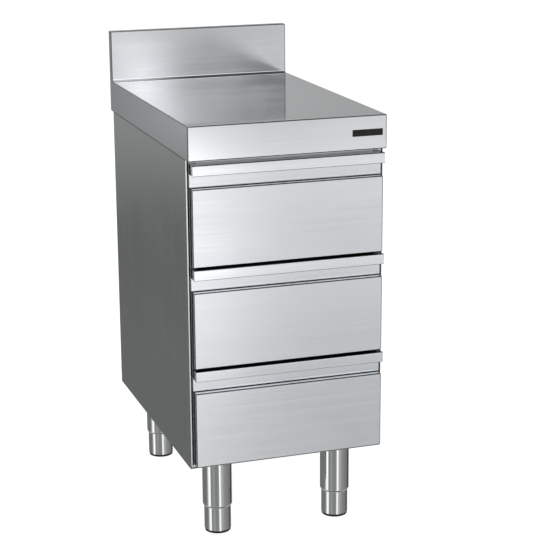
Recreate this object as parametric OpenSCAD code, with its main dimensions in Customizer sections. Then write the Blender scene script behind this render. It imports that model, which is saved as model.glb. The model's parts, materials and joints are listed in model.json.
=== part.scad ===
// Three-drawer stainless steel base unit for a commercial kitchen, on height-adjustable legs.
// Millimetres, Z up. The origin is on the floor at the middle of the whole footprint.
// The drawers open towards -Y. Drawer 0 is the top one.

/* [Worktop] */
// Width over the worktop
top_w = 400; // [360:1:600]
// Depth of the worktop, front face to rear face
top_d = 620; // [600:1:800]
// Height of the skirt folded down round the worktop
skirt_h = 67; // [50:1:75]
// Sheet thickness of the worktop
top_t = 1.5; // [1:0.1:2.5]
// Inward return along the lower edge of the skirt
return_w = 15; // [12:1:17]
// Height of the rear upstand above the work surface
upstand_h = 108; // [60:1:160]
// Thickness of the box-folded upstand
upstand_t = 20; // [12:1:40]
// Outer radius of the worktop's bends
top_r = 2; // [1:0.1:2.5]
// Radius of the bend at the foot of the upstand
cove_r = 4; // [2:0.5:8]
// Height of each stiffener under the worktop
stiffener_h = 25; // [15:1:30]
// Width of each stiffener over its flanges
stiffener_w = 80; // [60:1:100]
// Width of each stiffener's crown
crown_w = 40; // [25:1:50]
// Number of stiffeners
stiffener_count = 3; // [2:1:4]

/* [Badge] */
// Length of the blank badge plate
badge_w = 62; // [30:1:80]
// Height of the blank badge plate
badge_h = 13; // [8:1:20]
// Thickness of the blank badge plate
badge_t = 1.2; // [0.8:0.1:3]
// Space between the badge and the worktop's right edge
badge_edge = 9; // [5:1:60]

/* [Carcass] */
// Step between the worktop's side and the side panel
body_inset = 0.5; // [0.2:0.1:3]
// How far the worktop reaches behind the carcass
rear_overhang = 22; // [10:1:40]
// Height of the band under the lowest drawer front
band_h = 10; // [8:1:14]
// Sheet thickness of the side, back and base panels
body_t = 1; // [0.8:0.1:1.5]
// Width of the flanges folded round the side panels
flange_w = 20; // [18:1:24]
// Radius of the lower front corner of a side panel
corner_r = 8; // [3:0.5:9]
// Height of the front and rear rails under the worktop
rail_h = 28; // [15:1:30]
// Sheet thickness of rails and uprights
frame_t = 1.5; // [1:0.1:2]
// Width of an upright channel, front to back
upright_w = 40; // [30:1:60]

/* [Drawer fronts] */
// Space between the worktop's skirt and the top drawer
top_gap = 6.5; // [3:0.5:12]
// Space between one drawer front and the next
front_gap = 2.5; // [1.5:0.1:5]
// Space between a drawer front and the side of the worktop
front_inset = 6.5; // [3:0.5:8]
// Height of the grip lip
lip_h = 20.5; // [15:0.5:30]
// How far the lip stands in front of the panel
lip_proud = 8; // [2:0.5:20]
// Height of the hem inside the lip
hem_h = 8; // [4:0.5:12]
// Height of the finger recess between the lip and the panel
recess_h = 26.5; // [20:0.5:40]
// Depth of the finger recess behind the panel face
recess_d = 15; // [12:0.5:30]
// Height of the panel under the recess
panel_h = 152.5; // [145:0.5:165]
// Sheet thickness of a drawer front
front_t = 1.2; // [0.8:0.1:2]
// Outer radius of the bends of a drawer front
front_r = 1.5; // [1:0.1:2]

/* [Drawer boxes] */
// Inside depth of a drawer, front to back
tub_d = 510; // [400:1:530]
// Height of the drawer's sides
tub_h = 150; // [100:1:150]
// Height of a drawer's floor above the lower edge of its front
tub_rise = 14; // [8:1:20]
// Sheet thickness of the drawer box
tub_t = 1; // [0.8:0.1:1.5]
// Width of the rim turned outwards along the sides
rim_w = 8; // [4:0.5:10]
// Distance of the screws behind a drawer front from the sides of its box
front_screw_in = 8; // [6:0.5:40]
// Thickness of the liner behind a drawer front
liner_t = 1; // [0.8:0.1:1.5]

/* [Runners] */
// Width that a runner takes up between cabinet and drawer
runner_w = 12.7; // [12:0.1:15]
// Height of the cabinet member of a runner
runner_h = 45; // [35:1:60]
// How much shorter a runner is than the drawer box
runner_short = 10; // [5:1:60]
// Sheet thickness of the runner members
runner_t = 1.2; // [1:0.1:1.5]
// Height of the runner's centre line above the drawer's floor
runner_rise = 45; // [35:1:70]
// Distance of the runner behind the front edge of the carcass
runner_set = 4; // [2:0.5:10]

/* [Legs] */
// Height of the carcass above the floor
leg_h = 163; // [155:1:220]
// Distance from the side of the worktop to the centre of a leg
leg_in = 73; // [60:1:120]
// Distance from the worktop's front face to the front legs
leg_front = 88; // [70:1:150]
// Distance from the worktop's rear face to the rear legs
leg_rear = 82; // [70:1:150]
// Outer radius of the leg tube
leg_r = 30; // [25:0.5:35]
// Wall of the leg tube
leg_wall = 1.5; // [1.2:0.1:2.5]
// Height of the tapered shoulder at the lower end of the tube
shoulder_h = 5; // [3:0.5:10]
// Wall of the tube at the end of its shoulder
shoulder_wall = 0.7; // [0.5:0.1:1]
// Outer radius of the telescopic foot
foot_r = 27.2; // [22:0.1:27.4]
// Wall of the telescopic foot
foot_wall = 1.5; // [1:0.1:2.5]
// Length of the foot that shows between the pad and the shoulder
foot_show = 50; // [45:1:60]
// Length of the foot that stays in the tube when it is fully out
foot_guide = 26; // [15:1:28]
// Height of the pad under the foot
pad_h = 4; // [3:0.5:10]
// Radius of the stud that the foot screws along
stud_r = 6; // [4:0.5:8]
// Thickness of the cap on the leg tube
cap_t = 3; // [2:0.5:5]
// Thickness of the sole of the foot
sole_t = 4; // [2:0.5:6]
// Height of the threaded ring in the mouth of the foot
nut_ring_h = 12; // [8:1:16]
// Chamfer round the lower edges of foot and pad
pad_chamfer = 1.2; // [0.5:0.1:2]
// How far the pad lies inside the foot's outline
pad_inset = 1; // [0.5:0.1:3]
// Side of the square plate above each leg
plate_w = 70; // [50:1:90]
// Thickness of the plate above each leg
plate_t = 3; // [2:0.5:4]
// Travel of the foot up into the tube
foot_up = 35; // [20:1:36]
// Travel of the foot out of the tube
foot_down = 20; // [10:1:25]

/* [Fasteners] */
// Radius of the sheet metal screws
screw_r = 2; // [1.5:0.1:2.4]
// Radius of the heads of the sheet metal screws
screw_head_r = 4; // [3:0.1:5]
// Height of the low heads inside the runners
low_head_h = 0.9; // [0.6:0.1:1]
// Height of the other heads
head_h = 2.2; // [1.5:0.1:3]
// Length of the screws' tails behind what they hold
screw_tail = 4; // [2:0.5:5]
// Distance of the end screws from the carcass's edges
carcass_screw_in = 60; // [40:1:90]
// Distance of a drawer's screws from the upper and lower edges of its box
tub_screw_in = 30; // [20:1:40]
// Distance of a runner's drawer screws from its ends
runner_screw_in = 80; // [50:1:120]
// Distance of the uprights from the carcass's front edge and from the runners' rear ends
upright_in = 8; // [4:1:20]
// Distance of the rubber buffers from the panel's upper and lower edges
buffer_in = 25; // [15:1:40]
// Radius of the rubber buffers
buffer_r = 5; // [3:0.5:7]
// Space between a shut drawer front and the carcass
buffer_gap = 1.5; // [1:0.1:4]

/* [Hidden] */
$fn = 64;

// Clearances and small overlaps for clean cuts
slide_gap = 0.3;
seat_gap = 0.1;
cut = 1;

// Colours of the finishes
steel = [0.78, 0.80, 0.81];
inner_steel = [0.66, 0.68, 0.69];
zinc = [0.55, 0.57, 0.60];
black = [0.08, 0.08, 0.09];

// Depths: the lip is the foremost face and the worktop's rear is the rearmost
drawers = 3;
y_lip = -(top_d + lip_proud) / 2;
y_front = y_lip + lip_proud;
y_rear = y_front + top_d;
y_strip = y_front + recess_d;
y_shell = y_strip + front_t;
y_body = y_shell + buffer_gap;
y_body_r = y_rear - rear_overhang;
y_flange_r = y_body_r - body_t;
y_tub_r = y_shell + tub_d;
y_run = y_body + runner_set;
y_run_r = y_run + tub_d - runner_short;

// Heights, from the carcass up
z_body = leg_h;
z_base = z_body + body_t;
z_upright = z_body + band_h;
front_module = lip_h + recess_h + panel_h + front_gap;
function z_panel(i) = z_upright + (drawers - 1 - i) * front_module;
function z_ledge(i) = z_panel(i) + panel_h;
function z_lip(i) = z_ledge(i) + recess_h + lip_h;
function z_tub(i) = z_panel(i) + tub_rise;
function z_run(i) = z_tub(i) + runner_rise;
z_skirt = z_lip(0) + top_gap;
z_rail = z_skirt - body_t - rail_h;
z_top = z_skirt + skirt_h;
z_upstand = z_top + upstand_h;

// Widths, from the worktop's side inwards
x_top = top_w / 2;
x_side = x_top - body_inset;
x_in = x_side - body_t;
x_open = x_side - flange_w;
x_tub = x_open - runner_w;
x_front = x_top - front_inset;
x_liner = x_front - front_t - seat_gap;

// Runner members, each a channel inside the one before
mid_h = runner_h - 2 * runner_t - 2 * slide_gap;
inner_h = mid_h - 2 * runner_t - 2 * slide_gap;
mid_web = runner_t + low_head_h + slide_gap;
inner_tip = mid_web + runner_t + slide_gap;

// Legs
leg_x = x_top - leg_in;
leg_y_front = y_front + leg_front;
leg_y_rear = y_rear - leg_rear;
z_shoulder = pad_h + foot_show;
z_sleeve = z_shoulder + foot_guide + foot_down;
nut_r = 1.6 * stud_r;
nut_h = 0.8 * 2 * stud_r;
z_stud = pad_h + sole_t + foot_up + slide_gap;
z_stud_top = z_base + plate_t + nut_h + cut;
pad_r = foot_r - pad_inset;

// Fastener places
worktop_screw_ys = [y_body + carcass_screw_in, (y_body + y_body_r) / 2, y_body_r - carcass_screw_in];
worktop_screw_x = x_side - body_t - return_w / 2;
back_screw_x = x_in - flange_w / 2;
back_screw_zs = [z_body + carcass_screw_in, (z_body + z_skirt) / 2, z_skirt - carcass_screw_in];
upright_ys = [y_body + upright_in, y_run_r - upright_w - upright_in];
front_screw_x = x_tub - front_screw_in;
tub_screw_zs = [tub_screw_in, panel_h - tub_rise - tub_screw_in];
buffer_zs = [buffer_in, panel_h - buffer_in];

// A screw along +Z: the head lies under z = 0 and the shank goes up
module screw(shank, head)
{
    translate([0, 0, -head])
        cylinder(r = screw_head_r, h = head);
    cylinder(r = screw_r, h = shank);
}

// The clearance hole of a screw along Z, through z = 0
module screw_hole(depth)
{
    translate([0, 0, -cut])
        cylinder(r = screw_r + seat_gap, h = depth + 2 * cut);
}

// The children as drawn for the right side, and mirrored for the left
module both_sides()
{
    children();
    mirror([1, 0, 0]) children();
}

// The four legs' centres
module at_legs()
{
    for (x = [-leg_x, leg_x], y = [leg_y_front, leg_y_rear])
        translate([x, y, 0]) children();
}

// Places of the worktop's screws on the right side, axis up
module at_worktop_screws()
{
    for (y = worktop_screw_ys)
        translate([worktop_screw_x, y, z_skirt - body_t]) children();
}

// Places of the back panel's screws on the right side, axis forwards
module at_back_screws()
{
    for (z = back_screw_zs)
        translate([back_screw_x, y_body_r, z]) rotate([90, 0, 0]) children();
}

// Places of the cabinet runners' screws on the right side, axis outwards
module at_cabinet_screws()
{
    for (i = [0 : drawers - 1], y = upright_ys)
        translate([x_open - runner_t, y + upright_w / 2, z_run(i)])
            rotate([0, 90, 0]) children();
}

// Places of the drawer runners' screws on the right side, axis inwards
module at_drawer_runner_screws(i)
{
    for (y = [y_run + runner_screw_in, y_run_r - runner_screw_in])
        translate([x_tub + runner_t, y, z_run(i)])
            rotate([0, -90, 0]) children();
}

// Places of the screws that join a drawer box to its liner, right side, axis forwards
module at_front_screws(i)
{
    for (z = tub_screw_zs)
        translate([front_screw_x, y_shell + tub_t, z_tub(i) + z])
            rotate([90, 0, 0]) children();
}

// A box between two corners
module block(low, high)
{
    translate(low)
        cube(high - low);
}

// An outline in Y and Z, drawn from x = low to x = high
module along_x(low, high)
{
    translate([low, 0, 0])
        rotate([90, 0, 90])
            linear_extrude(high - low) children();
}

// An outline in X and Z, drawn from y = low to y = high
module along_y(low, high)
{
    translate([0, high, 0])
        rotate([90, 0, 0])
            linear_extrude(high - low) children();
}

// A rectangle with the radius given for each corner, or 0
module soft_rect(low, high, r_ll = 0, r_lh = 0, r_hl = 0, r_hh = 0)
{
    difference()
    {
        translate(low)
            square(high - low);
        corner_cut([low[0], low[1]], [1, 1], r_ll);
        corner_cut([low[0], high[1]], [1, -1], r_lh);
        corner_cut([high[0], low[1]], [-1, 1], r_hl);
        corner_cut([high[0], high[1]], [-1, -1], r_hh);
    }
}

// What a rounded corner takes off
module corner_cut(corner, inwards, r)
{
    if (r > 0)
        difference()
        {
            translate(corner + inwards * (r - cut) / 2)
                square(r + cut, center = true);
            translate(corner + r * inwards)
                circle(r = r);
        }
}

// Worktop: a folded tray with skirts and returns, and a box-folded upstand with closed ends
module worktop()
{
    inner = x_top - top_t;
    y_up = y_rear - upstand_t;
    color(steel)
    difference()
    {
        union()
        {
            intersection()
            {
                along_x(-x_top, x_top)
                    soft_rect([y_front, z_skirt], [y_rear, z_top], r_lh = top_r);
                along_y(y_front, y_rear)
                    soft_rect([-x_top, z_skirt], [x_top, z_top], r_lh = top_r, r_hh = top_r);
            }
            intersection()
            {
                along_x(-x_top, x_top)
                    soft_rect([y_up, z_top - 2 * top_r], [y_rear, z_upstand], r_lh = top_r, r_hh = top_r);
                along_y(y_up, y_rear)
                    soft_rect([-x_top, z_top - 2 * top_r], [x_top, z_upstand], r_lh = top_r, r_hh = top_r);
            }
            along_x(-x_top + top_r, x_top - top_r)
                difference()
                {
                    translate([y_up - cove_r, z_top - top_t])
                        square([cove_r + top_t, cove_r + top_t]);
                    translate([y_up - cove_r, z_top + cove_r])
                        circle(r = cove_r);
                }
        }
        block([-inner, y_front + top_t, z_skirt + top_t], [inner, y_rear - top_t, z_top - top_t]);
        block([-inner, y_up + top_t, z_top - top_t - cut], [inner, y_rear - top_t, z_upstand - top_t]);
        block([-x_top + return_w, y_front + return_w, z_skirt - cut],
            [x_top - return_w, y_rear - return_w, z_skirt + top_t + cut]);
        both_sides() at_worktop_screws() screw_hole(body_t + top_t);
    }
}

// Outline of a stiffener: a channel with its flanges along the height 0
module hat_outline()
{
    difference()
    {
        union()
        {
            translate([-stiffener_w / 2, -frame_t])
                square([stiffener_w, frame_t]);
            translate([-crown_w / 2, -stiffener_h])
                square([crown_w, stiffener_h]);
        }
        translate([-crown_w / 2 + frame_t, -stiffener_h + frame_t])
            square([crown_w - 2 * frame_t, stiffener_h]);
    }
}

// Hat-shaped stiffeners welded under the worktop, from side to side
module worktop_stiffeners()
{
    reach = x_top - top_t - slide_gap;
    spacing = (top_d - upstand_t) / stiffener_count;
    color(inner_steel)
    for (k = [0 : stiffener_count - 1])
        translate([0, y_front + spacing * (k + 0.5), z_top - top_t])
            along_x(-reach, reach) hat_outline();
}

// Blank plate on the front skirt
module badge_plate()
{
    x_badge = x_top - badge_edge;
    z_mid = z_skirt + skirt_h / 2;
    color(black)
    block([x_badge - badge_w, y_front - badge_t, z_mid - badge_h / 2],
        [x_badge, y_front, z_mid + badge_h / 2]);
}

// Right side panel: a sheet with flanges at the front, the rear and the top
module side_panel()
{
    color(steel)
    difference()
    {
        union()
        {
            along_x(x_in, x_side)
                soft_rect([y_body, z_body], [y_body_r, z_skirt], r_ll = corner_r);
            block([x_open, y_body, z_upright], [x_side, y_body + body_t, z_skirt]);
            block([x_open, y_flange_r - body_t, z_upright], [x_side, y_flange_r, z_skirt]);
            block([x_open, y_body, z_skirt - body_t], [x_side, y_body_r, z_skirt]);
        }
        at_worktop_screws() screw_hole(body_t + top_t);
        at_back_screws() screw_hole(2 * body_t);
    }
}

module left_side_panel()
{
    mirror([1, 0, 0]) side_panel();
}

module right_side_panel()
{
    side_panel();
}

// Flat back panel on the side panels' rear flanges
module back_panel()
{
    color(inner_steel)
    difference()
    {
        block([-x_in, y_flange_r, z_body], [x_in, y_body_r, z_skirt - body_t]);
        both_sides() at_back_screws() screw_hole(2 * body_t);
    }
}

// Base: a tray with a band turned up at the front and flanges turned up at the sides
module base_panel()
{
    color(steel)
    difference()
    {
        union()
        {
            block([-x_in, y_body + corner_r, z_body], [x_in, y_flange_r, z_base]);
            along_x(-x_in, x_in)
                difference()
                {
                    soft_rect([y_body, z_body], [y_body + corner_r + cut, z_upright], r_ll = corner_r);
                    soft_rect([y_body + body_t, z_base], [y_body + corner_r + 2 * cut, z_upright + cut],
                        r_ll = corner_r - body_t);
                }
            both_sides()
                block([x_in - body_t, y_body + corner_r, z_body], [x_in, y_flange_r, z_upright]);
        }
        at_legs() translate([0, 0, z_body]) stud_hole(body_t);
    }
}

// The clearance hole of a leg's stud, through z = 0
module stud_hole(depth)
{
    translate([0, 0, -cut])
        cylinder(r = stud_r + seat_gap, h = depth + 2 * cut);
}

// Angle rail across the front, under the worktop
module top_front_rail()
{
    low = y_body + body_t;
    top_rail(low, low + frame_t, low, low + flange_w);
}

// Angle rail across the rear, under the worktop
module top_rear_rail()
{
    high = y_flange_r - body_t;
    top_rail(high - frame_t, high, high - flange_w, high);
}

// A rail: an upright leg from web_low to web_high and a flat leg from leg_low to leg_high
module top_rail(web_low, web_high, leg_low, leg_high)
{
    z_high = z_skirt - body_t;
    color(inner_steel)
    {
        block([-x_in, web_low, z_rail], [x_in, web_high, z_high]);
        block([-x_in, leg_low, z_high - frame_t], [x_in, leg_high, z_high]);
    }
}

// Channels that stand between the right side panel and its runners
module uprights()
{
    color(inner_steel)
    difference()
    {
        for (y = upright_ys)
        {
            block([x_open, y, z_upright], [x_open + frame_t, y + upright_w, z_rail]);
            for (edge = [y, y + upright_w - frame_t])
                block([x_open, edge, z_upright], [x_in, edge + frame_t, z_rail]);
        }
        at_cabinet_screws() screw_hole(runner_t + frame_t);
    }
}

module left_uprights()
{
    mirror([1, 0, 0]) uprights();
}

module right_uprights()
{
    uprights();
}

// Screws up through the side panels' top flanges into the worktop's returns
module worktop_screws()
{
    color(zinc)
    both_sides() at_worktop_screws() screw(body_t + top_t + screw_tail, head_h);
}

// Screws through the back panel into the side panels' rear flanges
module back_screws()
{
    color(zinc)
    both_sides() at_back_screws() screw(2 * body_t + screw_tail, head_h);
}

// Low-headed screws through the cabinet runners into the uprights
module runner_screws()
{
    color(zinc)
    both_sides() at_cabinet_screws() screw(runner_t + frame_t + screw_tail, low_head_h);
}

// A channel's outline: web on x = 0, flanges towards +X, centred on y = 0
module channel(height, depth, wall)
{
    difference()
    {
        translate([0, -height / 2])
            square([depth, height]);
        translate([wall, wall - height / 2])
            square([depth, height - 2 * wall]);
    }
}

// Cabinet members of one drawer's runners
module cabinet_runners(i)
{
    color(zinc)
    both_sides()
        difference()
        {
            translate([x_open, 0, z_run(i)])
                along_y(y_run, y_run_r)
                    mirror([1, 0]) channel(runner_h, runner_w - slide_gap, runner_t);
            at_cabinet_screws() screw_hole(runner_t);
        }
}

// Middle members of one drawer's runners
module middle_runners(i)
{
    color(zinc)
    both_sides()
        translate([x_open - mid_web, 0, z_run(i)])
            along_y(y_run, y_run_r)
                mirror([1, 0]) channel(mid_h, runner_w - mid_web - slide_gap, runner_t);
}

// Drawer members of one drawer's runners
module drawer_runners(i)
{
    color(zinc)
    both_sides()
        difference()
        {
            translate([x_tub, 0, z_run(i)])
                along_y(y_run, y_run_r)
                    channel(inner_h, runner_w - inner_tip, runner_t);
            at_drawer_runner_screws(i) screw_hole(runner_t + tub_t);
        }
}

// Drawer front: lip, recessed strip, ledge and panel, folded from one sheet
module drawer_front(i)
{
    lip = z_lip(i);
    ledge = z_ledge(i);
    foot = z_panel(i);
    color(steel)
    {
        difference()
        {
            intersection()
            {
                along_x(-x_front, x_front)
                    soft_rect([y_front, foot], [y_shell, ledge], r_ll = front_r, r_lh = front_r);
                translate([0, 0, foot])
                    linear_extrude(panel_h)
                        soft_rect([-x_front, y_front], [x_front, y_shell], r_ll = front_r, r_hl = front_r);
            }
            block([-x_front + front_t, y_front + front_t, foot + front_t],
                [x_front - front_t, y_shell + cut, ledge - front_t]);
        }
        along_x(-x_front, x_front)
            difference()
            {
                soft_rect([y_lip, lip - lip_h], [y_shell, lip], r_lh = front_r);
                translate([y_lip + front_t, lip - lip_h - cut])
                    square([y_shell - y_lip, lip_h + cut - front_t]);
            }
        block([-x_front, y_lip + front_t, lip - lip_h],
            [x_front, y_lip + 2 * front_t, lip - lip_h + hem_h]);
        block([-x_front, y_strip, ledge - front_t], [x_front, y_shell, lip]);
    }
}

// Liner that closes the hollow panel from behind
module front_liner(i)
{
    color(inner_steel)
    difference()
    {
        block([-x_liner, y_shell - liner_t, z_panel(i) + front_t + seat_gap],
            [x_liner, y_shell, z_ledge(i) - front_t - seat_gap]);
        both_sides() at_front_screws(i) screw_hole(tub_t + liner_t);
    }
}

// Drawer box: floor and sides folded from one sheet, with rims along the sides
module drawer_tub(i)
{
    low = z_tub(i);
    high = low + tub_h;
    color(inner_steel)
    difference()
    {
        union()
        {
            block([-x_tub, y_shell, low], [x_tub, y_tub_r, low + tub_t]);
            both_sides()
            {
                block([x_tub - tub_t, y_shell, low], [x_tub, y_tub_r, high]);
                block([x_tub - tub_t, y_shell + buffer_gap + body_t + slide_gap, high - tub_t],
                    [x_tub + rim_w, y_tub_r, high]);
            }
        }
        both_sides() at_drawer_runner_screws(i) screw_hole(runner_t + tub_t);
    }
}

// Front and rear walls of a drawer box, welded between its sides
module drawer_walls(i)
{
    half = x_tub - tub_t;
    color(inner_steel)
    difference()
    {
        for (y = [y_shell, y_tub_r - tub_t])
            block([-half, y, z_tub(i) + tub_t], [half, y + tub_t, z_tub(i) + tub_h]);
        both_sides() at_front_screws(i) screw_hole(tub_t + liner_t);
    }
}

// Screws of one drawer: box to liner, and runners to box
module drawer_screws(i)
{
    color(zinc)
    both_sides()
    {
        at_front_screws(i) screw(tub_t + liner_t + screw_tail, head_h);
        at_drawer_runner_screws(i) screw(runner_t + tub_t, low_head_h);
    }
}

// Rubber buffers behind one drawer front
module drawer_buffers(i)
{
    color(black)
    both_sides()
        for (z = buffer_zs)
            translate([(x_open + x_liner) / 2, y_shell, z_panel(i) + z])
                rotate([-90, 0, 0])
                    cylinder(r = buffer_r, h = buffer_gap - slide_gap);
}

// Plates inside the base that spread the legs' load
module leg_plates()
{
    color(zinc)
    difference()
    {
        at_legs()
            translate([-plate_w / 2, -plate_w / 2, z_base])
                cube([plate_w, plate_w, plate_t]);
        at_legs() translate([0, 0, z_base]) stud_hole(plate_t);
    }
}

// Studs that hold the legs and carry the feet, with a nut above the base and one under the cap
module leg_studs()
{
    color(zinc)
    at_legs()
    {
        translate([0, 0, z_stud])
            cylinder(r = stud_r, h = z_stud_top - z_stud);
        translate([0, 0, z_base + plate_t])
            cylinder(r = nut_r, h = nut_h, $fn = 6);
        translate([0, 0, z_body - cap_t - nut_h])
            cylinder(r = nut_r, h = nut_h, $fn = 6);
    }
}

// Leg tube: a capped tube whose lower end tapers in round the foot
module leg_tube(x, y)
{
    mouth = foot_r + slide_gap;
    color(steel)
    translate([x, y, 0])
        rotate_extrude()
            polygon([
                [stud_r + seat_gap, z_body],
                [leg_r, z_body],
                [leg_r, z_shoulder + shoulder_h],
                [mouth + shoulder_wall, z_shoulder],
                [mouth, z_shoulder],
                [leg_r - leg_wall, z_shoulder + shoulder_h],
                [leg_r - leg_wall, z_body - cap_t],
                [stud_r + seat_gap, z_body - cap_t]
            ]);
}

// Telescopic foot: a cup with a closed sole
module foot_sleeve(x, y)
{
    color(steel)
    translate([x, y, 0])
        rotate_extrude()
            polygon([
                [0, pad_h],
                [foot_r - pad_chamfer, pad_h],
                [foot_r, pad_h + pad_chamfer],
                [foot_r, z_sleeve],
                [foot_r - foot_wall, z_sleeve],
                [foot_r - foot_wall, pad_h + sole_t],
                [0, pad_h + sole_t]
            ]);
}

// Threaded ring in the mouth of the foot, which runs along the stud
module foot_nut(x, y)
{
    color(zinc)
    translate([x, y, z_sleeve - nut_ring_h])
        difference()
        {
            cylinder(r = foot_r - foot_wall - seat_gap, h = nut_ring_h);
            translate([0, 0, -cut])
                cylinder(r = stud_r + slide_gap, h = nut_ring_h + 2 * cut);
        }
}

// Black pad under the foot
module foot_pad(x, y)
{
    color(black)
    translate([x, y, 0])
        rotate_extrude()
            polygon([
                [0, 0],
                [pad_r - pad_chamfer, 0],
                [pad_r, pad_chamfer],
                [pad_r, pad_h],
                [0, pad_h]
            ]);
}

worktop();
worktop_stiffeners();
badge_plate();
left_side_panel();
right_side_panel();
back_panel();
base_panel();
top_front_rail();
top_rear_rail();
left_uprights();
right_uprights();
worktop_screws();
back_screws();
runner_screws();
cabinet_runners(0);  // cabinet_runners_top
cabinet_runners(1);  // cabinet_runners_middle
cabinet_runners(2);  // cabinet_runners_bottom
middle_runners(0);  // middle_runners_top
middle_runners(1);  // middle_runners_middle
middle_runners(2);  // middle_runners_bottom
drawer_front(0);  // drawer_front_top
drawer_front(1);  // drawer_front_middle
drawer_front(2);  // drawer_front_bottom
front_liner(0);  // front_liner_top
front_liner(1);  // front_liner_middle
front_liner(2);  // front_liner_bottom
drawer_tub(0);  // drawer_tub_top
drawer_tub(1);  // drawer_tub_middle
drawer_tub(2);  // drawer_tub_bottom
drawer_walls(0);  // drawer_walls_top
drawer_walls(1);  // drawer_walls_middle
drawer_walls(2);  // drawer_walls_bottom
drawer_runners(0);  // drawer_runners_top
drawer_runners(1);  // drawer_runners_middle
drawer_runners(2);  // drawer_runners_bottom
drawer_screws(0);  // drawer_screws_top
drawer_screws(1);  // drawer_screws_middle
drawer_screws(2);  // drawer_screws_bottom
drawer_buffers(0);  // drawer_buffers_top
drawer_buffers(1);  // drawer_buffers_middle
drawer_buffers(2);  // drawer_buffers_bottom
leg_plates();
leg_studs();
leg_tube(-leg_x, leg_y_front);  // leg_tube_front_left
leg_tube(leg_x, leg_y_front);  // leg_tube_front_right
leg_tube(-leg_x, leg_y_rear);  // leg_tube_rear_left
leg_tube(leg_x, leg_y_rear);  // leg_tube_rear_right
foot_sleeve(-leg_x, leg_y_front);  // foot_sleeve_front_left
foot_sleeve(leg_x, leg_y_front);  // foot_sleeve_front_right
foot_sleeve(-leg_x, leg_y_rear);  // foot_sleeve_rear_left
foot_sleeve(leg_x, leg_y_rear);  // foot_sleeve_rear_right
foot_nut(-leg_x, leg_y_front);  // foot_nut_front_left
foot_nut(leg_x, leg_y_front);  // foot_nut_front_right
foot_nut(-leg_x, leg_y_rear);  // foot_nut_rear_left
foot_nut(leg_x, leg_y_rear);  // foot_nut_rear_right
foot_pad(-leg_x, leg_y_front);  // foot_pad_front_left
foot_pad(leg_x, leg_y_front);  // foot_pad_front_right
foot_pad(-leg_x, leg_y_rear);  // foot_pad_rear_left
foot_pad(leg_x, leg_y_rear);  // foot_pad_rear_right
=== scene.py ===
import json
import math

import bmesh
import bpy
from mathutils import Matrix, Vector


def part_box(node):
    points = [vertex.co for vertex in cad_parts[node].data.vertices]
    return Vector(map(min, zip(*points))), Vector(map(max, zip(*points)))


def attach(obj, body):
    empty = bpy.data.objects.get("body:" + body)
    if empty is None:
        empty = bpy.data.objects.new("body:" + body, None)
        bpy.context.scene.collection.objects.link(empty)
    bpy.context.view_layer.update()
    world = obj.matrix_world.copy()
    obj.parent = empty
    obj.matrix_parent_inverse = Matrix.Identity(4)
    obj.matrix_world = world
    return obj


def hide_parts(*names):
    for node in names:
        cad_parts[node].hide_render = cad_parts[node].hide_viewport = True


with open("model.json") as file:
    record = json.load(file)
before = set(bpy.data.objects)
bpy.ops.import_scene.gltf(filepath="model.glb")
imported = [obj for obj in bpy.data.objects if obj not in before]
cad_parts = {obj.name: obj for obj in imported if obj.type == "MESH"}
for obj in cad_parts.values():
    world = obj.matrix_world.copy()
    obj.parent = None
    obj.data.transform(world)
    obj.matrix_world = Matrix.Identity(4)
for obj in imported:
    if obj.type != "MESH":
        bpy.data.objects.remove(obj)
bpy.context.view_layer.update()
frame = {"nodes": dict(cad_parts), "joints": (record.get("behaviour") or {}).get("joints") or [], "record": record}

levels = ["top", "middle", "bottom"]
corners = ["front_left", "front_right", "rear_left", "rear_right"]
mm = 0.001


# Shader maths

class Wire:
    # one output socket that arithmetic can be written with
    def __init__(self, shader, socket):
        self.shader = shader
        self.socket = socket

    def joined(self, operation, other, flipped=False):
        pair = (other, self) if flipped else (self, other)
        return self.shader.node("Math", {"operation": operation}, {0: pair[0], 1: pair[1]})

    def __add__(self, other):
        return self.joined("ADD", other)

    def __radd__(self, other):
        return self.joined("ADD", other, True)

    def __sub__(self, other):
        return self.joined("SUBTRACT", other)

    def __rsub__(self, other):
        return self.joined("SUBTRACT", other, True)

    def __mul__(self, other):
        return self.joined("MULTIPLY", other)

    def __rmul__(self, other):
        return self.joined("MULTIPLY", other, True)

    def __truediv__(self, other):
        return self.joined("DIVIDE", other)

    def __rtruediv__(self, other):
        return self.joined("DIVIDE", other, True)


class Shader:
    # a node tree that is written as expressions
    def __init__(self, owner):
        owner.use_nodes = True
        self.owner = owner
        self.tree = owner.node_tree
        self.tree.nodes.clear()

    def node(self, kind, settings=None, inputs=None, output=0):
        made = self.tree.nodes.new("ShaderNode" + kind)
        for key, value in (settings or {}).items():
            if key == "stops":
                self.setStops(made.color_ramp, value)
            else:
                setattr(made, key, value)
        for key, value in (inputs or {}).items():
            if isinstance(value, Wire):
                self.tree.links.new(value.socket, made.inputs[key])
            else:
                made.inputs[key].default_value = value
        return Wire(self, made.outputs[output])

    def setStops(self, ramp, stops):
        while len(ramp.elements) > 1:
            ramp.elements.remove(ramp.elements[-1])
        for number, (at, grey) in enumerate(stops):
            stop = ramp.elements[0] if number == 0 else ramp.elements.new(at)
            stop.position = at
            stop.color = (grey, grey, grey, 1)

    def mixColour(self, factor, first, second):
        return self.node("Mix", {"data_type": "RGBA"}, {0: factor, 6: first, 7: second}, 2)

    def smoothStep(self, value, start, end):
        return self.node("MapRange", {"interpolation_type": "SMOOTHSTEP"},
                         {"Value": value, "From Min": start, "From Max": end})

    def bump(self, height):
        return self.node("Bump", None, {"Strength": 1.0, "Distance": 1.0, "Height": height})

    def finish(self, surface, kind="Material"):
        out = self.tree.nodes.new("ShaderNodeOutput" + kind)
        self.tree.links.new(surface.socket, out.inputs["Surface"])
        return self.owner


# Finishes

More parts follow.
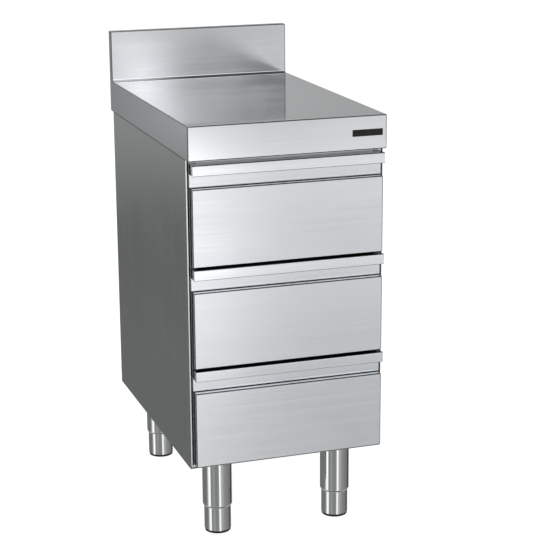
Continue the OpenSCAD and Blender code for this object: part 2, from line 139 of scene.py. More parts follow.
def noise(shader, place, scale, detail=2.0, roughness=0.5):
    # scale is in features per metre along each axis
    spread = shader.node("Mapping", None, {"Vector": place, "Scale": scale})
    return shader.node("TexNoise", None, {"Vector": spread, "Scale": 1.0, "Detail": detail,
                                          "Roughness": roughness})


def grain(look, kind):
    # the scale of a grain that runs along one axis
    along, across = look[kind]
    return tuple(along if axis == look["grainAxis"] else across for axis in range(3))


def steel(name, look):
    # brushed or satin sheet: grain lines, broader streaks, clouds and soft smears, with a painted highlight and
    # more polish on its bends, and painted shade on faces marked dark
    shader = Shader(bpy.data.materials.new(name))
    place = shader.node("TexCoord", output="Object")
    fine = noise(shader, place, grain(look, "fineGrain"), 2, 0.6)
    lines = noise(shader, place, grain(look, "lineGrain"), 3, 0.6)
    streaks = noise(shader, place, grain(look, "streakGrain"), 2, 0.5)
    clouds = noise(shader, place, look["cloudScale"], 4, 0.55)
    waves = noise(shader, place, look["waveScale"], 1, 0.4)
    smears = shader.node("ValToRGB", {"stops": look["smearStops"]},
                         {0: noise(shader, place, look["smearScale"], 3, 0.6)})
    bend = shader.node("Attribute", {"attribute_name": "bend"}, output="Fac")
    crease = shader.node("Attribute", {"attribute_name": "crease"}, output="Fac")
    tone = (lines - 0.5) * look["lineTone"] + (streaks - 0.5) * look["streakTone"]
    tone = tone + (clouds - 0.5) * look["cloudTone"] + 0.5
    dark = tuple(c * (1 - look["contrast"]) for c in look["colour"])
    light = tuple(min(1, c * (1 + look["contrast"])) for c in look["colour"])
    colour = shader.mixColour(tone, (*dark, 1), (*light, 1))
    # painted highlight: faces marked as bends are mixed towards a pale colour; their lower roughness below is real
    # polish
    colour = shader.mixColour(bend * look["bendShine"], colour, (*look["bendColour"], 1))
    # painted shade: faces marked for it are mixed towards near black
    colour = shader.mixColour(crease, colour, (*look["creaseColour"], 1))
    rough = look["roughness"] + (clouds - 0.5) * look["roughClouds"] + (streaks - 0.5) * look["roughStreaks"]
    rough = rough + smears * look["smears"] - bend * look["bendPolish"]
    rough = rough + (fine - 0.5) * look["fineRoughness"]
    height = (lines - 0.5) * look["lineDepth"]
    if "wiped" in look:
        # faces that lie flat are wiped so often that they are polished
        wiped = look["wiped"]
        facing = shader.node("SeparateXYZ", None, {0: shader.node("NewGeometry", output="Normal")}, "Z")
        flat = shader.smoothStep(facing, *wiped["facing"])
        polish = clouds * wiped["spread"] + streaks * wiped["spread"] + wiped["roughness"]
        rough = rough * (1 - flat) + polish * flat
        height = height * (1 - flat * wiped["smoothing"])
    height = height + (waves - 0.5) * look["waviness"]
    return shader.finish(shader.node("BsdfPrincipled", None, {
        "Base Color": colour, "Metallic": 1.0, "Roughness": rough, "Normal": shader.bump(height),
        "Anisotropic": look["anisotropy"], "Anisotropic Rotation": look["rotation"]}))


brushedLook = {
    "colour": (0.59, 0.61, 0.63), "contrast": 0.20, "anisotropy": 0.8, "rotation": 0.25,
    # features per metre along the grain and across it
    "grainAxis": 0, "fineGrain": (9, 2200), "lineGrain": (2.2, 300), "streakGrain": (0.5, 70),
    "cloudScale": (7, 7, 7), "waveScale": (4.3, 4.3, 4.3), "smearScale": (3.1, 3.1, 5.3),
    "lineTone": 0.22, "streakTone": 0.08, "cloudTone": 0.05,
    "roughness": 0.18, "roughClouds": 0.05, "roughStreaks": 0.05, "fineRoughness": 0.10,
    "smears": 0.03, "smearStops": [(0.52, 0.0), (0.72, 1.0)],
    "lineDepth": 0.0015 * mm, "waviness": 0.06 * mm,
    # a pale painted highlight on bends, and near-black painted shade on faces marked dark
    "bendColour": (0.90, 0.91, 0.92), "bendShine": 0.4, "bendPolish": 0.10,
    "creaseColour": (0.02, 0.02, 0.02)}


def variant(**changes):
    return {**brushedLook, **changes}


zincLook = {"dark": (0.40, 0.42, 0.45), "light": (0.72, 0.74, 0.77), "crystalScale": 260.0,
            "cloudScale": (25, 25, 25), "crystalTone": 0.45, "cloudTone": 0.5, "depth": 0.02 * mm,
            "roughness": 0.33, "crystalRoughness": 0.15}


def zincPlate(name, look):
    # plated steel: small crystals of zinc, each at its own brightness
    shader = Shader(bpy.data.materials.new(name))
    place = shader.node("TexCoord", output="Object")
    crystals = shader.node("TexVoronoi", {"feature": "F1"}, {"Vector": place, "Scale": look["crystalScale"]},
                           "Color")
    spangle = shader.node("SeparateColor", None, {0: crystals})
    clouds = noise(shader, place, look["cloudScale"], 3, 0.5)
    tone = spangle * look["crystalTone"] + clouds * look["cloudTone"]
    colour = shader.mixColour(tone, (*look["dark"], 1), (*look["light"], 1))
    rough = spangle * look["crystalRoughness"] + look["roughness"]
    return shader.finish(shader.node("BsdfPrincipled", None, {
        "Base Color": colour, "Metallic": 1.0, "Roughness": rough,
        "Normal": shader.bump(clouds * look["depth"])}))


rubberLook = {"colour": (0.006, 0.006, 0.006), "poreScale": 900, "poreDepth": 0.04 * mm, "roughness": 0.6,
              "poreRoughness": 0.12, "shine": 0.15, "dust": 0.15, "dustColour": (0.16, 0.16, 0.155),
              "dustScale": 90, "dustStops": [(0.45, 0.0), (0.75, 1.0)]}
badgeLook = {**rubberLook, "colour": (0.006, 0.006, 0.007), "poreScale": 2600, "poreDepth": 0.004 * mm,
             "roughness": 0.30, "shine": 0.2, "dust": 0.04}


def mouldedBlack(name, look):
    # rubber or plastic with a fine moulded grain and a little dust
    shader = Shader(bpy.data.materials.new(name))
    place = shader.node("TexCoord", output="Object")
    pores = noise(shader, place, (look["poreScale"],) * 3, 3, 0.6)
    dust = shader.node("ValToRGB", {"stops": look["dustStops"]},
                       {0: noise(shader, place, (look["dustScale"],) * 3, 4, 0.6)})
    colour = shader.mixColour(dust * look["dust"], (*look["colour"], 1), (*look["dustColour"], 1))
    return shader.finish(shader.node("BsdfPrincipled", None, {
        "Base Color": colour, "Metallic": 0.0, "Roughness": look["roughness"] + pores * look["poreRoughness"],
        "Normal": shader.bump(pores * look["poreDepth"]), "Specular IOR Level": look["shine"]}))


frontSteel = steel("frontSteel", brushedLook)
topSteel = steel("topSteel", variant(
    colour=(0.565, 0.58, 0.595), roughness=0.11, waviness=0.03 * mm,
    wiped={"facing": (0.8, 0.99), "roughness": 0.03, "spread": 0.02, "smoothing": 0.85}))
# full painted highlight on its bends, a pale line down the folded front edges
sideSteel = steel("sideSteel", variant(
    colour=(0.485, 0.53, 0.52), grainAxis=2, roughness=0.25, rotation=0.0, anisotropy=0.4,
    waviness=0.03 * mm, cloudTone=0.03, lineTone=0.10, bendShine=1.0))
innerSteel = steel("innerSteel", variant(
    colour=(0.56, 0.57, 0.58), grainAxis=1, roughness=0.36, anisotropy=0.2))
tubeSteel = steel("tubeSteel", variant(
    colour=(0.59, 0.60, 0.60), roughness=0.11, roughClouds=0.03, roughStreaks=0.02, waviness=0.0,
    anisotropy=0.6, lineTone=0.15, streakTone=0.05))
# painted light: a lighter copy of the steel, so that the front rail in the gap above the top lip reads bright
railSteel = steel("railSteel", variant(colour=(0.80, 0.81, 0.82), roughness=0.35, anisotropy=0.2))
zincSteel = zincPlate("zincSteel", zincLook)
blackRubber = mouldedBlack("blackRubber", rubberLook)
badgeBlack = mouldedBlack("badgeBlack", badgeLook)
slotFinish = {"outer_steel": frontSteel, "inner_steel": innerSteel, "zinc_steel": zincSteel,
              "black_rubber": blackRubber, "badge_plastic": badgeBlack}
print("finishes made")


# Mesh building

weldGap = 0.001 * mm
foldAngle = 0.5         # two faces of a sheet that meet at more than this are bent round, in radians
sharpAngle = 0.6        # an edge turns sharper than this stays sharp in the shading


def newMesh():
    # an empty mesh whose faces can be marked as a bend, polished and with a painted highlight, or with painted
    # shade
    bm = bmesh.new()
    bm.faces.layers.float.new("bend")
    bm.faces.layers.float.new("crease")
    return bm


def mark(bm, faces, amount=1.0, kind="bend"):
    layer = bm.faces.layers.float[kind]
    for face in faces:
        face[layer] = amount


def facesWhere(bm, test):
    # the faces whose middle passes the test
    return [face for face in bm.faces if test(face.calc_center_median())]


def thicken(bm, thickness):
    # gives an open skin the thickness of the sheet, inwards, and hands back a closed mesh
    mesh = bpy.data.meshes.new("skin")
    bm.to_mesh(mesh)
    bm.free()
    holder = bpy.data.objects.new("skin", mesh)
    bpy.context.scene.collection.objects.link(holder)
    sheet = holder.modifiers.new("sheet", "SOLIDIFY")
    sheet.thickness = thickness
    sheet.offset = -1.0
    sheet.use_even_offset = True
    sheet.use_rim = True
    bpy.context.view_layer.update()
    solid = bpy.data.meshes.new_from_object(holder.evaluated_get(bpy.context.evaluated_depsgraph_get()))
    made = bmesh.new()
    made.from_mesh(solid)
    bpy.data.objects.remove(holder)
    bpy.data.meshes.remove(mesh)
    bpy.data.meshes.remove(solid)
    return made


def foldedSheet(faces, outward, thickness, bendRadius, dark=(), bendMark=("bend", 1.0), steps=6):
    # faces are the outer polygons of one sheet, every edge that two of them share is bent round, dark lists
    # the ones in a shadow gap, painted dark as shade, and bendMark says whether the bends get the painted
    # highlight or painted shade
    bm = newMesh()
    for number, points in enumerate(faces):
        mark(bm, [bm.faces.new([bm.verts.new(p) for p in points])], 1.0 if number in dark else 0.0, "crease")
    bmesh.ops.remove_doubles(bm, verts=bm.verts[:], dist=weldGap)
    bmesh.ops.recalc_face_normals(bm, faces=bm.faces[:])
    bm.faces.ensure_lookup_table()
    if bm.faces[0].normal.dot(Vector(outward)) < 0:
        bmesh.ops.reverse_faces(bm, faces=bm.faces[:])
    folds = [e for e in bm.edges if len(e.link_faces) == 2 and e.calc_face_angle() > foldAngle]
    made = bmesh.ops.bevel(bm, geom=folds, offset=bendRadius, offset_type="OFFSET", segments=steps,
                           profile=0.5, affect="EDGES", clamp_overlap=False, loop_slide=True)
    mark(bm, made["faces"], 0.0, "crease")
    mark(bm, made["faces"], bendMark[1], bendMark[0])
    return thicken(bm, thickness)


def bentPath(points, radii, steps=6):
    # the centre line of a bent strip as (point, normal) pairs, with an arc at each inner corner
    path = []
    for i, point in enumerate(points):
        here = Vector(point)
        before = (here - Vector(points[i - 1])).normalized() if i > 0 else None
        after = (Vector(points[i + 1]) - here).normalized() if i < len(points) - 1 else None
        if before is None or after is None:
            way = after or before
            path.append((here, Vector((-way.y, way.x))))
            continue
        turn = before.angle_signed(after)
        radius = radii[i - 1]
        if radius == 0:
            path.append((here, Vector((-before.y, before.x))))
            continue
        reach = radius * math.tan(abs(turn) / 2)
        side = -1 if turn > 0 else 1
        start = here - before * reach
        centre = start + Vector((-before.y, before.x)) * radius * side
        for k in range(steps + 1):
            spin = Matrix.Rotation(-turn * k / steps, 2)
            path.append((centre + spin @ (start - centre), spin @ Vector((-before.y, before.x))))
    return path


def bentStrip(points, radii, xLow, xHigh, handEnd, darkBelow, look):
    # a strip bent along a path of (y, z) points, from xLow to xHigh, polished by hands and given a painted
    # highlight as far back as handEnd, with a painted highlight on its bends and painted shade along its highest
    # edge and below the height darkBelow
    path = bentPath(points, radii)
    bm = newMesh()
    rows = []
    for x in (xLow, xHigh):
        for side in (0.5, -0.5):
            rows.append([bm.verts.new((x, *(p + n * look["sheet"] * side))) for p, n in path])
    leftOut, leftIn, rightOut, rightIn = rows
    bends, handled = [], []
    for i in range(len(path) - 1):
        curved = path[i][1].angle(path[i + 1][1]) > 0.01
        near = (path[i][0].x + path[i + 1][0].x) / 2 < handEnd
        for a, b in ((leftOut, rightOut), (rightIn, leftIn), (leftIn, leftOut), (rightOut, rightIn)):
            face = bm.faces.new((a[i], a[i + 1], b[i + 1], b[i]))
            if curved:
                bends.append(face)
            elif near:
                handled.append(face)
    for i in (0, len(path) - 1):
        bm.faces.new((leftOut[i], leftIn[i], rightIn[i], rightOut[i]))
    bmesh.ops.recalc_face_normals(bm, faces=bm.faces[:])
    crownLow = max(vert.co.z for vert in bm.verts) - look["sheet"] / 2
    crown = facesWhere(bm, lambda middle: middle.z > crownLow)
    # bends and hand-worn faces get the painted highlight, the crown painted shade as well, and the bottom below
    # darkBelow full painted shade
    mark(bm, bends)
    mark(bm, handled, look["handShine"])
    mark(bm, crown, look["handShine"])
    mark(bm, crown, look["edgeShade"], "crease")
    mark(bm, facesWhere(bm, lambda middle: middle.z < darkBelow), 1.0, "crease")
    return bm


def turned(profile, centre, steps=96):
    # a ring turned from a closed outline of (radius, z) points, or from an open one that ends on the axis
    bm = newMesh()
    rings = []
    for radius, z in profile:
        if radius == 0:
            rings.append([bm.verts.new((centre[0], centre[1], z))])
            continue
        rings.append([bm.verts.new((centre[0] + radius * math.cos(2 * math.pi * k / steps),
                                    centre[1] + radius * math.sin(2 * math.pi * k / steps), z))
                      for k in range(steps)])
    pairs = list(zip(rings, rings[1:]))
    if len(rings[0]) > 1 and len(rings[-1]) > 1:
        pairs.append((rings[-1], rings[0]))
    for lower, upper in pairs:
        for k in range(steps):
            points = [lower[k % len(lower)], lower[(k + 1) % len(lower)],
                      upper[(k + 1) % len(upper)], upper[k % len(upper)]]
            bm.faces.new(list(dict.fromkeys(points)))
    bmesh.ops.recalc_face_normals(bm, faces=bm.faces[:])
    return bm


def block(low, high, edge=0.0):
    # a box, with its edges eased if edge is given
    bm = bmesh.new()
    bmesh.ops.create_cube(bm, size=1.0)
    size = Vector(high) - Vector(low)
    for vert in bm.verts:
        vert.co = Vector([low[i] + (vert.co[i] + 0.5) * size[i] for i in range(3)])
    if edge > 0:
        bmesh.ops.bevel(bm, geom=bm.edges[:], offset=edge, segments=3, profile=0.5, affect="EDGES")
    return bm


def together(*parts):
    # several meshes as one
    whole = newMesh()
    for part in parts:
        mesh = bpy.data.meshes.new("part")
        part.to_mesh(mesh)
        part.free()
        whole.from_mesh(mesh)
        bpy.data.meshes.remove(mesh)
    return whole


def arc(centre, radius, start, turn, steps):
    # points from the angle start, in degrees, through the given turn
    return [(centre[0] + radius * math.cos(math.radians(start + turn * k / steps)),
             centre[1] + radius * math.sin(math.radians(start + turn * k / steps))) for k in range(steps + 1)]


def piece(name, bm, finish, body, node):
    # the mesh as a named piece that stands for the node, smooth round its bends and flat on its flats
    for edge in bm.edges:
        edge.smooth = len(edge.link_faces) != 2 or edge.calc_face_angle(0) < sharpAngle
    for face in bm.faces:
        face.smooth = True
    mesh = bpy.data.meshes.new(name)
    bm.to_mesh(mesh)
    bm.free()
    mesh.materials.append(finish)
    made = bpy.data.objects.new(name, mesh)
    bpy.context.scene.collection.objects.link(made)
    flats = made.modifiers.new("flats", "WEIGHTED_NORMAL")
    flats.keep_sharp = True
    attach(made, body)
    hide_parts(node)


# Worktop

worktop = {"sheet": 1.5 * mm, "bend": 2.0 * mm, "cove": 4.0 * mm, "return": 15 * mm, "upstand": 20 * mm,
           "skirt": 67 * mm, "edgeShade": 0.75, "steps": 6}


def buildWorktop():
    low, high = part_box("worktop")
    bend, hollow, steps = worktop["bend"], worktop["cove"], worktop["steps"]
    top = low.z + worktop["skirt"]
    foot = high.y - worktop["upstand"]

    def outline(inset):
        # side view of the skin, drawn in by inset, from the front skirt over the top to the rear
        points = [(low.y + inset, low.z + bend)]
        points += arc((low.y + bend, top - bend), bend - inset, 180, -90, steps)
        points += arc((foot - hollow, top + hollow), hollow + inset, 270, 90, steps)
        points += arc((foot + bend, high.z - bend), bend - inset, 180, -90, steps)
        points += arc((high.y - bend, high.z - bend), bend - inset, 90, -90, steps)
        return points + [(high.y - inset, low.z + bend)]

    # the side view is repeated across the width, and drawn in where the left and right edges are round
    stations = []
    for side in (-1, 1):
        turns = range(steps + 1) if side < 0 else range(steps, -1, -1)
        for k in turns:
            angle = math.radians(90 * (1 - k / steps))
            stations.append((side * (high.x - bend * (1 - math.sin(angle))), bend * (1 - math.cos(angle))))
    bm = newMesh()
    rings = [[bm.verts.new((x, y, z)) for y, z in outline(inset)] for x, inset in stations]
    flats = {k * (steps + 1) for k in range(5)}      # skirt, top, upstand, its crown and its rear
    cove, edges = [], []
    for i in range(len(rings) - 1):
        for j in range(len(rings[0]) - 1):
            face = bm.faces.new((rings[i][j], rings[i + 1][j], rings[i + 1][j + 1], rings[i][j + 1]))
            if i == steps and steps + 1 < j < 2 * steps + 2:
                cove.append(face)
            elif j not in flats or i != steps:
                edges.append(face)
    for ring in (rings[0], rings[-1]):
        bm.faces.new(ring)

    # the lower edge turns in to a flat return on all four sides
    loop = [r[0] for r in rings] + [r[-1] for r in reversed(rings)]
    rows = [loop]
    for inset, z in arc((bend, low.z + bend), bend, 180, 90, steps)[1:] + [(worktop["return"], low.z)]:
        row = []
        for vert in loop:
            middle = Vector((max(low.x + bend, min(high.x - bend, vert.co.x)),
                             max(low.y + bend, min(high.y - bend, vert.co.y))))
            if inset <= bend:
                spot = middle + (vert.co.xy - middle) * (1 - inset / bend)
            else:
                spot = Vector((max(low.x + inset, min(high.x - inset, vert.co.x)),
                               max(low.y + inset, min(high.y - inset, vert.co.y))))
            row.append(bm.verts.new((spot.x, spot.y, z)))
        rows.append(row)
    for k in range(len(rows) - 1):
        for i in range(len(loop)):
            j = (i + 1) % len(loop)
            face = bm.faces.new((rows[k][i], rows[k][j], rows[k + 1][j], rows[k + 1][i]))
            if k < steps:
                edges.append(face)
    # the cove gets the painted highlight, and every other bend, those of the return too, gets painted shade
    mark(bm, cove)
    mark(bm, edges, worktop["edgeShade"], "crease")
    bmesh.ops.remove_doubles(bm, verts=bm.verts[:], dist=weldGap)
    bmesh.ops.recalc_face_normals(bm, faces=bm.faces[:])
    topFace = max(bm.faces, key=lambda f: f.calc_area())
    if topFace.normal.z < 0:
        bmesh.ops.reverse_faces(bm, faces=bm.faces[:])
    solid = thicken(bm, worktop["sheet"])
    piece("worktop_sheet", solid, topSteel, "carcass", "worktop")


buildWorktop()
print("worktop made")


# Side panels

sidePanel = {"sheet": 1.0 * mm, "bend": 1.8 * mm, "flange": 20 * mm, "corner": 8 * mm, "cornerSteps": 8,
             "band": 10 * mm, "groove": 3.4 * mm}


def buildSide(side, node):
    # side is -1 on the left and 1 on the right
    low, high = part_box(node)
    sheet, radius = sidePanel["sheet"], sidePanel["corner"]
    face = high.x if side > 0 else low.x
    inner = face - side * sidePanel["flange"]
    groove = face - side * (sidePanel["bend"] + sidePanel["groove"])
    start = low.z + sidePanel["band"]
    corner = arc((low.y + radius, low.z + radius), radius, 180, 90, sidePanel["cornerSteps"])
    outer = [(face, low.y, high.z), (face, low.y, start)] + [(face, y, z) for y, z in corner]
    outer += [(face, high.y, low.z), (face, high.y, high.z)]

    def strip(fromX, toX):
        # a part of the folded front edge
        return [(fromX, low.y, start), (fromX, low.y, high.z), (toX, low.y, high.z), (toX, low.y, start)]

    # the outer strip of the folded front edge is painted dark, as painted shade in the gap beside the drawer
    # fronts
    shell = foldedSheet([outer, strip(face, groove), strip(groove, inner)], (side, 0, 0), sheet,
                        sidePanel["bend"], (1,))
    gap = face - side * sheet
    xLow, xHigh = min(inner, gap), max(inner, gap)
    top = block((xLow, low.y + sheet, high.z - sheet), (xHigh, high.y, high.z))
    rear = block((xLow, high.y - 2 * sheet, start), (xHigh, high.y - sheet, high.z - sheet))
    piece(node + "_sheet", together(shell, top, rear), sideSteel, "carcass", node)


buildSide(-1, "left_side_panel")
buildSide(1, "right_side_panel")
print("side panels made")


# Drawer fronts

drawerFront = {
    "sheet": 1.2 * mm, "bend": 2.0 * mm, "lipHeight": 20.5 * mm, "lipProud": 8 * mm,
    "recessHeight": 26.5 * mm, "recessDepth": 15 * mm, "joint": 1.5 * mm, "edgeShade": 0.75,
    "hem": 8 * mm, "hemGap": 0.05 * mm, "hemLine": 0.9 * mm, "hemShade": 0.9,
    "handDepth": 3 * mm, "handShine": 0.3, "capInset": 0.8 * mm, "capEdge": 0.2 * mm}


def buildFront(level):
    node = "drawer_front_" + level
    low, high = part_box(node)
    sheet, bend = drawerFront["sheet"], drawerFront["bend"]
    lipLow = high.z - drawerFront["lipHeight"]
    ledge = lipLow - drawerFront["recessHeight"]
    front = low.y + drawerFront["lipProud"]
    strip = front + drawerFront["recessDepth"]
    handEnd = low.y + drawerFront["handDepth"]

    def upright(y):
        return [(low.x, y, low.z), (high.x, y, low.z), (high.x, y, ledge), (low.x, y, ledge)]

    def shelf(z):
        return [(low.x, front, z), (high.x, front, z), (high.x, high.y, z), (low.x, high.y, z)]

    def cheek(x):
        return [(x, front, low.z), (x, high.y, low.z), (x, high.y, ledge), (x, front, ledge)]

    # the pan's bends are painted dark, as painted shade
    pan = foldedSheet([upright(front), shelf(ledge), shelf(low.z), cheek(low.x), cheek(high.x)], (0, -1, 0),
                      sheet, bend, bendMark=("crease", drawerFront["edgeShade"]))

    # the grip runs from its hem down and round the lip, back over the top and down to the ledge
    half = sheet / 2
    hemPitch = sheet + drawerFront["hemGap"]
    lipY = low.y + half
    points = [(lipY + hemPitch, lipLow + drawerFront["hem"]), (lipY + hemPitch, lipLow + half),
              (lipY, lipLow + half), (lipY, high.z - half), (strip + half, high.z - half),
              (strip + half, ledge + drawerFront["joint"]), (strip + half, ledge)]
    radii = [hemPitch / 2, hemPitch / 2, bend - half, bend - half, 0]
    # the lowest joint length of the strip above the ledge is painted fully dark, as painted shade in the slot
    grip = bentStrip(points, radii, low.x, high.x, handEnd, ledge + drawerFront["joint"], drawerFront)
    # a thin line of painted shade along the lip's hemmed bottom edge
    hemHigh = lipLow + drawerFront["hemLine"]
    hemLine = facesWhere(grip, lambda middle: middle.z < hemHigh and middle.y < handEnd)
    mark(grip, hemLine, drawerFront["hemShade"], "crease")

    inset = drawerFront["capInset"]
    caps = [block((x, low.y + inset, lipLow + inset / 2), (x + sheet, strip + half, high.z - inset),
                  drawerFront["capEdge"]) for x in (low.x, high.x - sheet)]
    whole = together(pan, grip, *caps)
    piece("drawer_face_" + level, whole, frontSteel, level + "_drawer", node)


for level in levels:
    buildFront(level)
print("drawer fronts made")


# Legs

leg = {"wall": 1.5 * mm, "shoulder": 5 * mm, "mouthGap": 0.3 * mm, "mouthWall": 0.7 * mm,
       "mouthHeight": 0.8 * mm, "cap": 3 * mm, "studHole": 6.1 * mm, "ease": 0.4 * mm,
       "footWall": 1.5 * mm, "sole": 4 * mm, "footEase": 1.2 * mm, "rimLine": 1.2 * mm, "rimShade": 0.9,
       "padEase": 0.5 * mm, "padTopEase": 0.3 * mm, "easeSteps": 5, "shoulderSteps": 8}


def sizesOf(node):
    # the middle, the radius and the lowest and highest point of an upright round node
    low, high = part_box(node)
    return ((low.x + high.x) / 2, (low.y + high.y) / 2), (high.x - low.x) / 2, low.z, high.z


def smoothDrop(high, low, zHigh, zLow, steps):
    # an S-shaped narrowing from one radius to another
    points = []
    for k in range(steps + 1):
        share = (1 - math.cos(math.pi * k / steps)) / 2
        points.append((high + (low - high) * share, zHigh + (zLow - zHigh) * k / steps))
    return points


def roundedBase(radius, z, ease):
    # from the axis along the underside and round its edge
    return [(0, z)] + arc((radius - ease, z + ease), ease, 270, 90, leg["easeSteps"])


def buildLegTube(corner):
    node = "leg_tube_" + corner
    centre, outer, low, high = sizesOf(node)
    mouth = sizesOf("foot_sleeve_" + corner)[1] + leg["mouthGap"]
    lip = mouth + leg["mouthWall"]
    inner = outer - leg["wall"]
    ease, mouthTop, shoulder = leg["ease"], low + leg["mouthHeight"], low + leg["shoulder"]
    outline = [(outer - ease, high), (outer, high - ease)]
    outline += smoothDrop(outer, lip, shoulder, mouthTop, leg["shoulderSteps"])
    outline += [(lip, low + ease / 2), (lip - ease / 2, low), (mouth, low), (mouth, mouthTop),
                (inner, shoulder), (inner, high - leg["cap"]), (leg["studHole"], high - leg["cap"]),
                (leg["studHole"], high)]
    piece("leg_" + corner, turned(outline, centre), tubeSteel, "carcass", node)


def buildFoot(corner):
    node = "foot_sleeve_" + corner
    centre, outer, low, high = sizesOf(node)
    inner, floor = outer - leg["footWall"], low + leg["sole"]
    outline = roundedBase(outer, low, leg["footEase"])
    outline += [(outer, high), (inner, high), (inner, floor), (0, floor)]
    sleeve = turned(outline, centre)
    # painted shade on the eased bottom rim of the foot
    rim = facesWhere(sleeve, lambda middle: middle.z < low + leg["rimLine"])
    mark(sleeve, rim, leg["rimShade"], "crease")
    piece("foot_" + corner, sleeve, tubeSteel, corner + "_foot", node)


def buildPad(corner):
    node = "foot_pad_" + corner
    centre, outer, low, high = sizesOf(node)
    ease = leg["padTopEase"]
    outline = roundedBase(outer, low, leg["padEase"])
    outline += [(outer, high - ease), (outer - ease, high), (0, high)]
    piece("pad_" + corner, turned(outline, centre), blackRubber, corner + "_foot", node)


for corner in corners:
    buildLegTube(corner)
    buildFoot(corner)
    buildPad(corner)
print("legs made")


# Badge

badge = {"edge": 0.3 * mm}


def buildBadge():
    plate = block(*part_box("badge_plate"), badge["edge"])
    piece("badge", plate, badgeBlack, "carcass", "badge_plate")


buildBadge()


# Finishes of the nodes that stay

# the base band takes the darker side steel as painted shade under the lowest drawer, and the front rail a lighter
# copy as painted light
ownFinish = {"base_panel": sideSteel, "top_front_rail": railSteel}


def dressNodes():
    bySlot = {row["node"]: row["material_slot"] for row in frame["record"]["subparts"]}
    for name, node in frame["nodes"].items():
        for slot in node.material_slots:
            slot.material = ownFinish.get(name, slotFinish[bySlot[name]])


dressNodes()
print("inner parts dressed")


# Studio: how bright the room is round the object, by compass angle from the front towards the right

studio = {
    # the rings lie about 40, 20, 13 and 2 degrees below level, and then 10, 17 and 40 degrees above it
    "floor": [(-180, 0.45), (-150, 0.50), (-110, 0.60), (-80, 0.90), (-50, 0.80), (-25, 0.70), (0, 0.95),
              (20, 0.85), (50, 0.60), (90, 0.45), (135, 0.60)],
    "low": [(-180, 0.20), (-167, 0.21), (-164, 0.16), (-152, 0.22), (-140, 0.28), (-120, 0.22),
            (-104, 0.30), (-94, 0.8), (-82, 1.9), (-73, 1.6), (-66, 0.26), (-46, 0.44), (-36, 0.40),
            (-28, 0.29), (-8, 0.34), (-3, 0.5), (3, 2.2), (8, 1.5), (13, 0.95), (16, 0.78), (19, 0.53),
            (25, 0.62), (40, 0.42), (70, 0.32), (98, 0.25), (110, 0.04), (122, 0.06), (134, 0.45),
            (150, 0.40), (168, 0.25)],
    "middle": [(-180, 0.10), (-165, 0.12), (-152, 0.28), (-140, 0.40), (-120, 0.35), (-104, 0.45),
               (-94, 0.9), (-80, 1.8), (-72, 1.3), (-60, 0.75), (-44, 0.70), (-24, 0.45), (-10, 0.8),
               (0, 1.9), (8, 2.8), (15.9, 4.0), (17.2, 2.15), (18.4, 1.95), (19.5, 1.65), (26, 1.6),
               (36, 0.6), (50, 0.30), (98, 0.22), (115, 0.20), (132, 0.50), (150, 0.45), (168, 0.25)],
    "horizon": [(-180, 0.20), (-168.5, 0.22), (-162, 0.66), (-150, 0.42), (-120, 0.38), (-104, 0.42),
                (-94, 0.9), (-80, 1.7), (-71, 1.2), (-57, 0.72), (-40, 0.65), (-24, 0.55), (-10, 0.8),
                (0, 1.1), (10, 1.2), (13.5, 1.1), (15, 0.76), (18.6, 0.76), (20.5, 1.0), (26, 1.0),
                (40, 0.5), (60, 0.3), (90, 0.35), (130, 0.5), (158, 0.40), (168, 0.35)],
    "high": [(-180, 0.60), (-165, 0.90), (-150, 0.60), (-120, 0.40), (-104, 0.4), (-94, 0.9), (-80, 1.6),
             (-70, 1.2), (-55, 0.7), (-30, 0.7), (0, 1.2), (10, 1.7), (13.4, 0.9), (14.2, 3.4),
             (14.8, 0.75), (16.6, 0.70), (17.4, 0.35), (18.3, 0.02), (28, 0.05), (60, 0.30), (90, 0.50),
             (130, 0.55), (158, 0.46), (162, 0.52)],
    "shelf": [(-180, 0.75), (-130, 0.60), (-104, 0.6), (-80, 1.2), (-50, 0.7), (-20, 1.0), (5, 2.2),
              (14, 2.6), (24, 2.4), (40, 1.0), (80, 0.5), (130, 0.7)],
    "upper": [(-180, 0.75), (-130, 0.60), (-104, 0.6), (-80, 1.2), (-50, 1.2), (15, 1.2), (20, 0.12),
              (50, 0.12), (80, 0.5), (130, 0.7)],
    # the heights between which each ring takes over from the one below it, as z of the direction
    "bands": [("floor", -0.92, -0.78), ("low", -0.52, -0.39), ("middle", -0.31, -0.22),
              ("horizon", -0.235, -0.165), ("high", 0.095, 0.16), ("shelf", 0.19, 0.26),
              ("upper", 0.34, 0.42)],
    "ground": 0.08,
    # overhead: its three lights, and the stretches of z, x and y over which they take over
    "ceiling": {"left": 1.2, "right": 0.12, "rear": 0.8, "fromBelow": (0.80, 0.95),
                "toRight": (0.235, 0.27), "toRear": (-0.1, 0.2)}}


def ringLight(shader, share, ring):
    # share is the compass angle as 0 to 1, and each ring is closed behind the object
    peak = max(light for _, light in ring)
    stops = [((degrees + 180) / 360, light / peak) for degrees, light in ring] + [(1.0, ring[0][1] / peak)]
    return shader.node("ValToRGB", {"stops": stops}, {0: share}) * peak


def blend(shader, value, start, end, first, second):
    # first below start, second above end, and smooth between them
    factor = shader.smoothStep(value, start, end)
    return (1 - factor) * first + factor * second


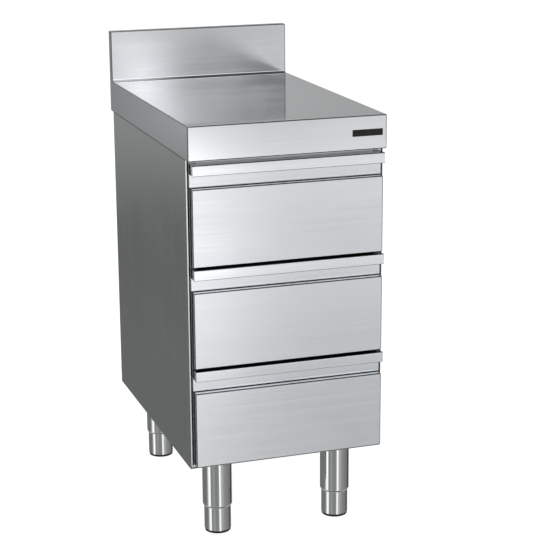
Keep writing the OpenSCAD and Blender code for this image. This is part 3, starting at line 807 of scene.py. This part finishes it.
def buildWorld():
    world = bpy.data.worlds.new("studio")
    bpy.context.scene.world = world
    shader = Shader(world)
    way = shader.node("TexCoord", output="Generated")
    x, y, z = (shader.node("SeparateXYZ", None, {0: way}, axis) for axis in "XYZ")
    share = shader.node("Math", {"operation": "ARCTAN2"}, {0: x, 1: 0 - y}) / (2 * math.pi) + 0.5
    room = studio["ground"]
    for ring, start, end in studio["bands"]:
        room = blend(shader, z, start, end, room, ringLight(shader, share, studio[ring]))
    ceiling = studio["ceiling"]
    right = blend(shader, y, *ceiling["toRear"], ceiling["right"], ceiling["rear"])
    overhead = blend(shader, x, *ceiling["toRight"], ceiling["left"], right)
    room = blend(shader, z, *ceiling["fromBelow"], room, overhead)
    seen = shader.node("LightPath", output="Is Camera Ray")
    strength = room * (1 - seen) + seen
    shader.finish(shader.node("Background", None, {"Color": (1, 1, 1, 1), "Strength": strength}), "World")


paleFloor = {"radius": 40.0, "steps": 96, "gap": 0.3 * mm, "colour": (0.85, 0.85, 0.85), "glow": 1.2,
             "glowShare": 0.8}


def buildFloor():
    # it lies just under the pads of feet that are screwed right out, so that they show at every setting,
    # and only the camera sees its glow
    reach = min(joint["range_m"][0] for joint in frame["joints"] if joint["child"].endswith("_foot"))
    bm = bmesh.new()
    bmesh.ops.create_circle(bm, cap_ends=True, radius=paleFloor["radius"], segments=paleFloor["steps"])
    for vert in bm.verts:
        vert.co.z = reach - paleFloor["gap"]
    mesh = bpy.data.meshes.new("floor")
    bm.to_mesh(mesh)
    bm.free()
    floor = bpy.data.objects.new("floor", mesh)
    bpy.context.scene.collection.objects.link(floor)
    floor.visible_glossy = False
    shader = Shader(bpy.data.materials.new("paleFloor"))
    plain = shader.node("BsdfDiffuse", None, {"Color": (*paleFloor["colour"], 1)})
    white = shader.node("Emission", None, {"Color": (1, 1, 1, 1), "Strength": paleFloor["glow"]})
    seen = shader.node("LightPath", output="Is Camera Ray")
    shader.finish(shader.node("MixShader", None, {0: seen * paleFloor["glowShare"], 1: plain, 2: white}))
    mesh.materials.append(shader.owner)


lampAim = (0, 0, 0.5)
lamps = {"overhead": {"place": (0.0, -0.4, 3.2), "size": (2.6, 2.6), "power": 60},
         "key": {"place": (-1.9, -2.6, 2.3), "size": (1.4, 1.6), "power": 30}}


def softbox(name, look):
    light = bpy.data.lights.new(name, "AREA")
    light.shape = "RECTANGLE"
    light.size, light.size_y = look["size"]
    light.energy = look["power"]
    lamp = bpy.data.objects.new(name, light)
    lamp.location = look["place"]
    lamp.rotation_euler = (Vector(lampAim) - Vector(look["place"])).to_track_quat("-Z", "Y").to_euler()
    lamp.visible_glossy = False
    bpy.context.scene.collection.objects.link(lamp)


buildWorld()
buildFloor()
for name, look in lamps.items():
    softbox(name, look)
print("studio made")


# Camera

camera = {"place": (-1.0247, -3.2641, 1.3974), "yaw": 0.32441, "pitch": 0.26507, "roll": -0.00638,
          "lens": 109.7, "film": 36.0, "far": 200}


def buildCamera():
    yaw, pitch, roll = camera["yaw"], camera["pitch"], camera["roll"]
    ahead = Vector((math.sin(yaw) * math.cos(pitch), math.cos(yaw) * math.cos(pitch), -math.sin(pitch)))
    right = Vector((math.cos(yaw), -math.sin(yaw), 0))
    up = right.cross(ahead)
    across = math.cos(roll) * right + math.sin(roll) * up
    upward = -math.sin(roll) * right + math.cos(roll) * up
    view = bpy.data.cameras.new("camera")
    view.lens = camera["lens"]
    view.sensor_width = camera["film"]
    view.sensor_fit = "HORIZONTAL"
    view.clip_end = camera["far"]
    holder = bpy.data.objects.new("camera", view)
    turn = Matrix((across, upward, -ahead)).transposed().to_4x4()
    holder.matrix_world = Matrix.Translation(camera["place"]) @ turn
    bpy.context.scene.collection.objects.link(holder)
    bpy.context.scene.camera = holder


buildCamera()
bpy.context.scene.view_settings.view_transform = "Standard"
print("camera made")
